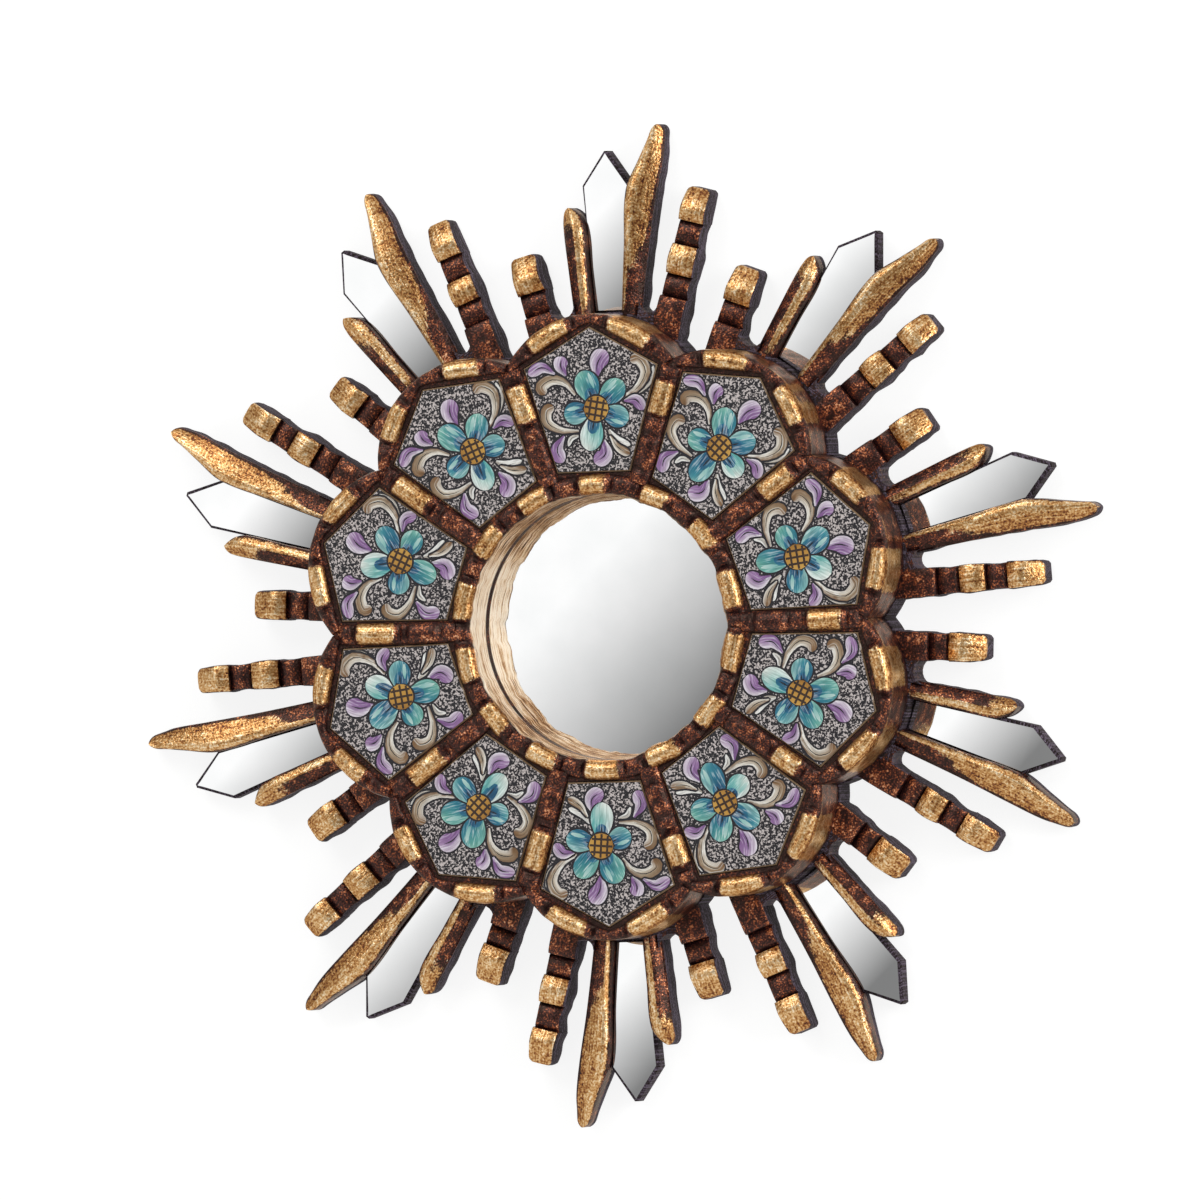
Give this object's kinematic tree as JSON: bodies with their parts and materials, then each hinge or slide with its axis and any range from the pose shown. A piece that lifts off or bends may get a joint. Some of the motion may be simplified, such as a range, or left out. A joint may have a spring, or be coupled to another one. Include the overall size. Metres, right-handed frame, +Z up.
{
  "type": "sunburst wall mirror",
  "caption": "Sunburst wall mirror: carved, bronze-leafed wood rays set with mirror strips round a lobed ring that holds floral reverse-painted glass panes and a sunken round mirror.",
  "frame": {"origin": "centre of the sunburst on the wall face of the board", "axes": "+X right and +Z up as it hangs, seen from the front; the front faces -Y and +Y points into the wall"},
  "size_m": [0.3666, 0.0385, 0.371],
  "materials": {
    "leafed_wood": "bronze leaf over carved wood, rubbed back to a dark red-brown patina",
    "mirror_glass": "polished, silvered behind",
    "painted_glass": "glossy glass painted on its back, speckled grey ground with teal and lilac flowers",
    "plated_steel": "dull zinc plate"
  },
  "bodies": {
    "root": {"sunburst_board": "leafed_wood", "carved_ring": "leafed_wood", "centre_mirror": "mirror_glass", "painted_pane_01": "painted_glass", "painted_pane_02": "painted_glass", "painted_pane_03": "painted_glass", "painted_pane_04": "painted_glass", "painted_pane_05": "painted_glass", "painted_pane_06": "painted_glass", "painted_pane_07": "painted_glass", "painted_pane_08": "painted_glass", "painted_pane_09": "painted_glass", "painted_pane_10": "painted_glass", "ray_mirror_01": "mirror_glass", "ray_mirror_02": "mirror_glass", "ray_mirror_03": "mirror_glass", "ray_mirror_04": "mirror_glass", "ray_mirror_05": "mirror_glass", "ray_mirror_06": "mirror_glass", "ray_mirror_07": "mirror_glass", "ray_mirror_08": "mirror_glass", "ray_mirror_09": "mirror_glass", "ray_mirror_10": "mirror_glass", "sawtooth_hanger": "plated_steel", "hanger_nails": "plated_steel"}
  },
  "joints": []
}
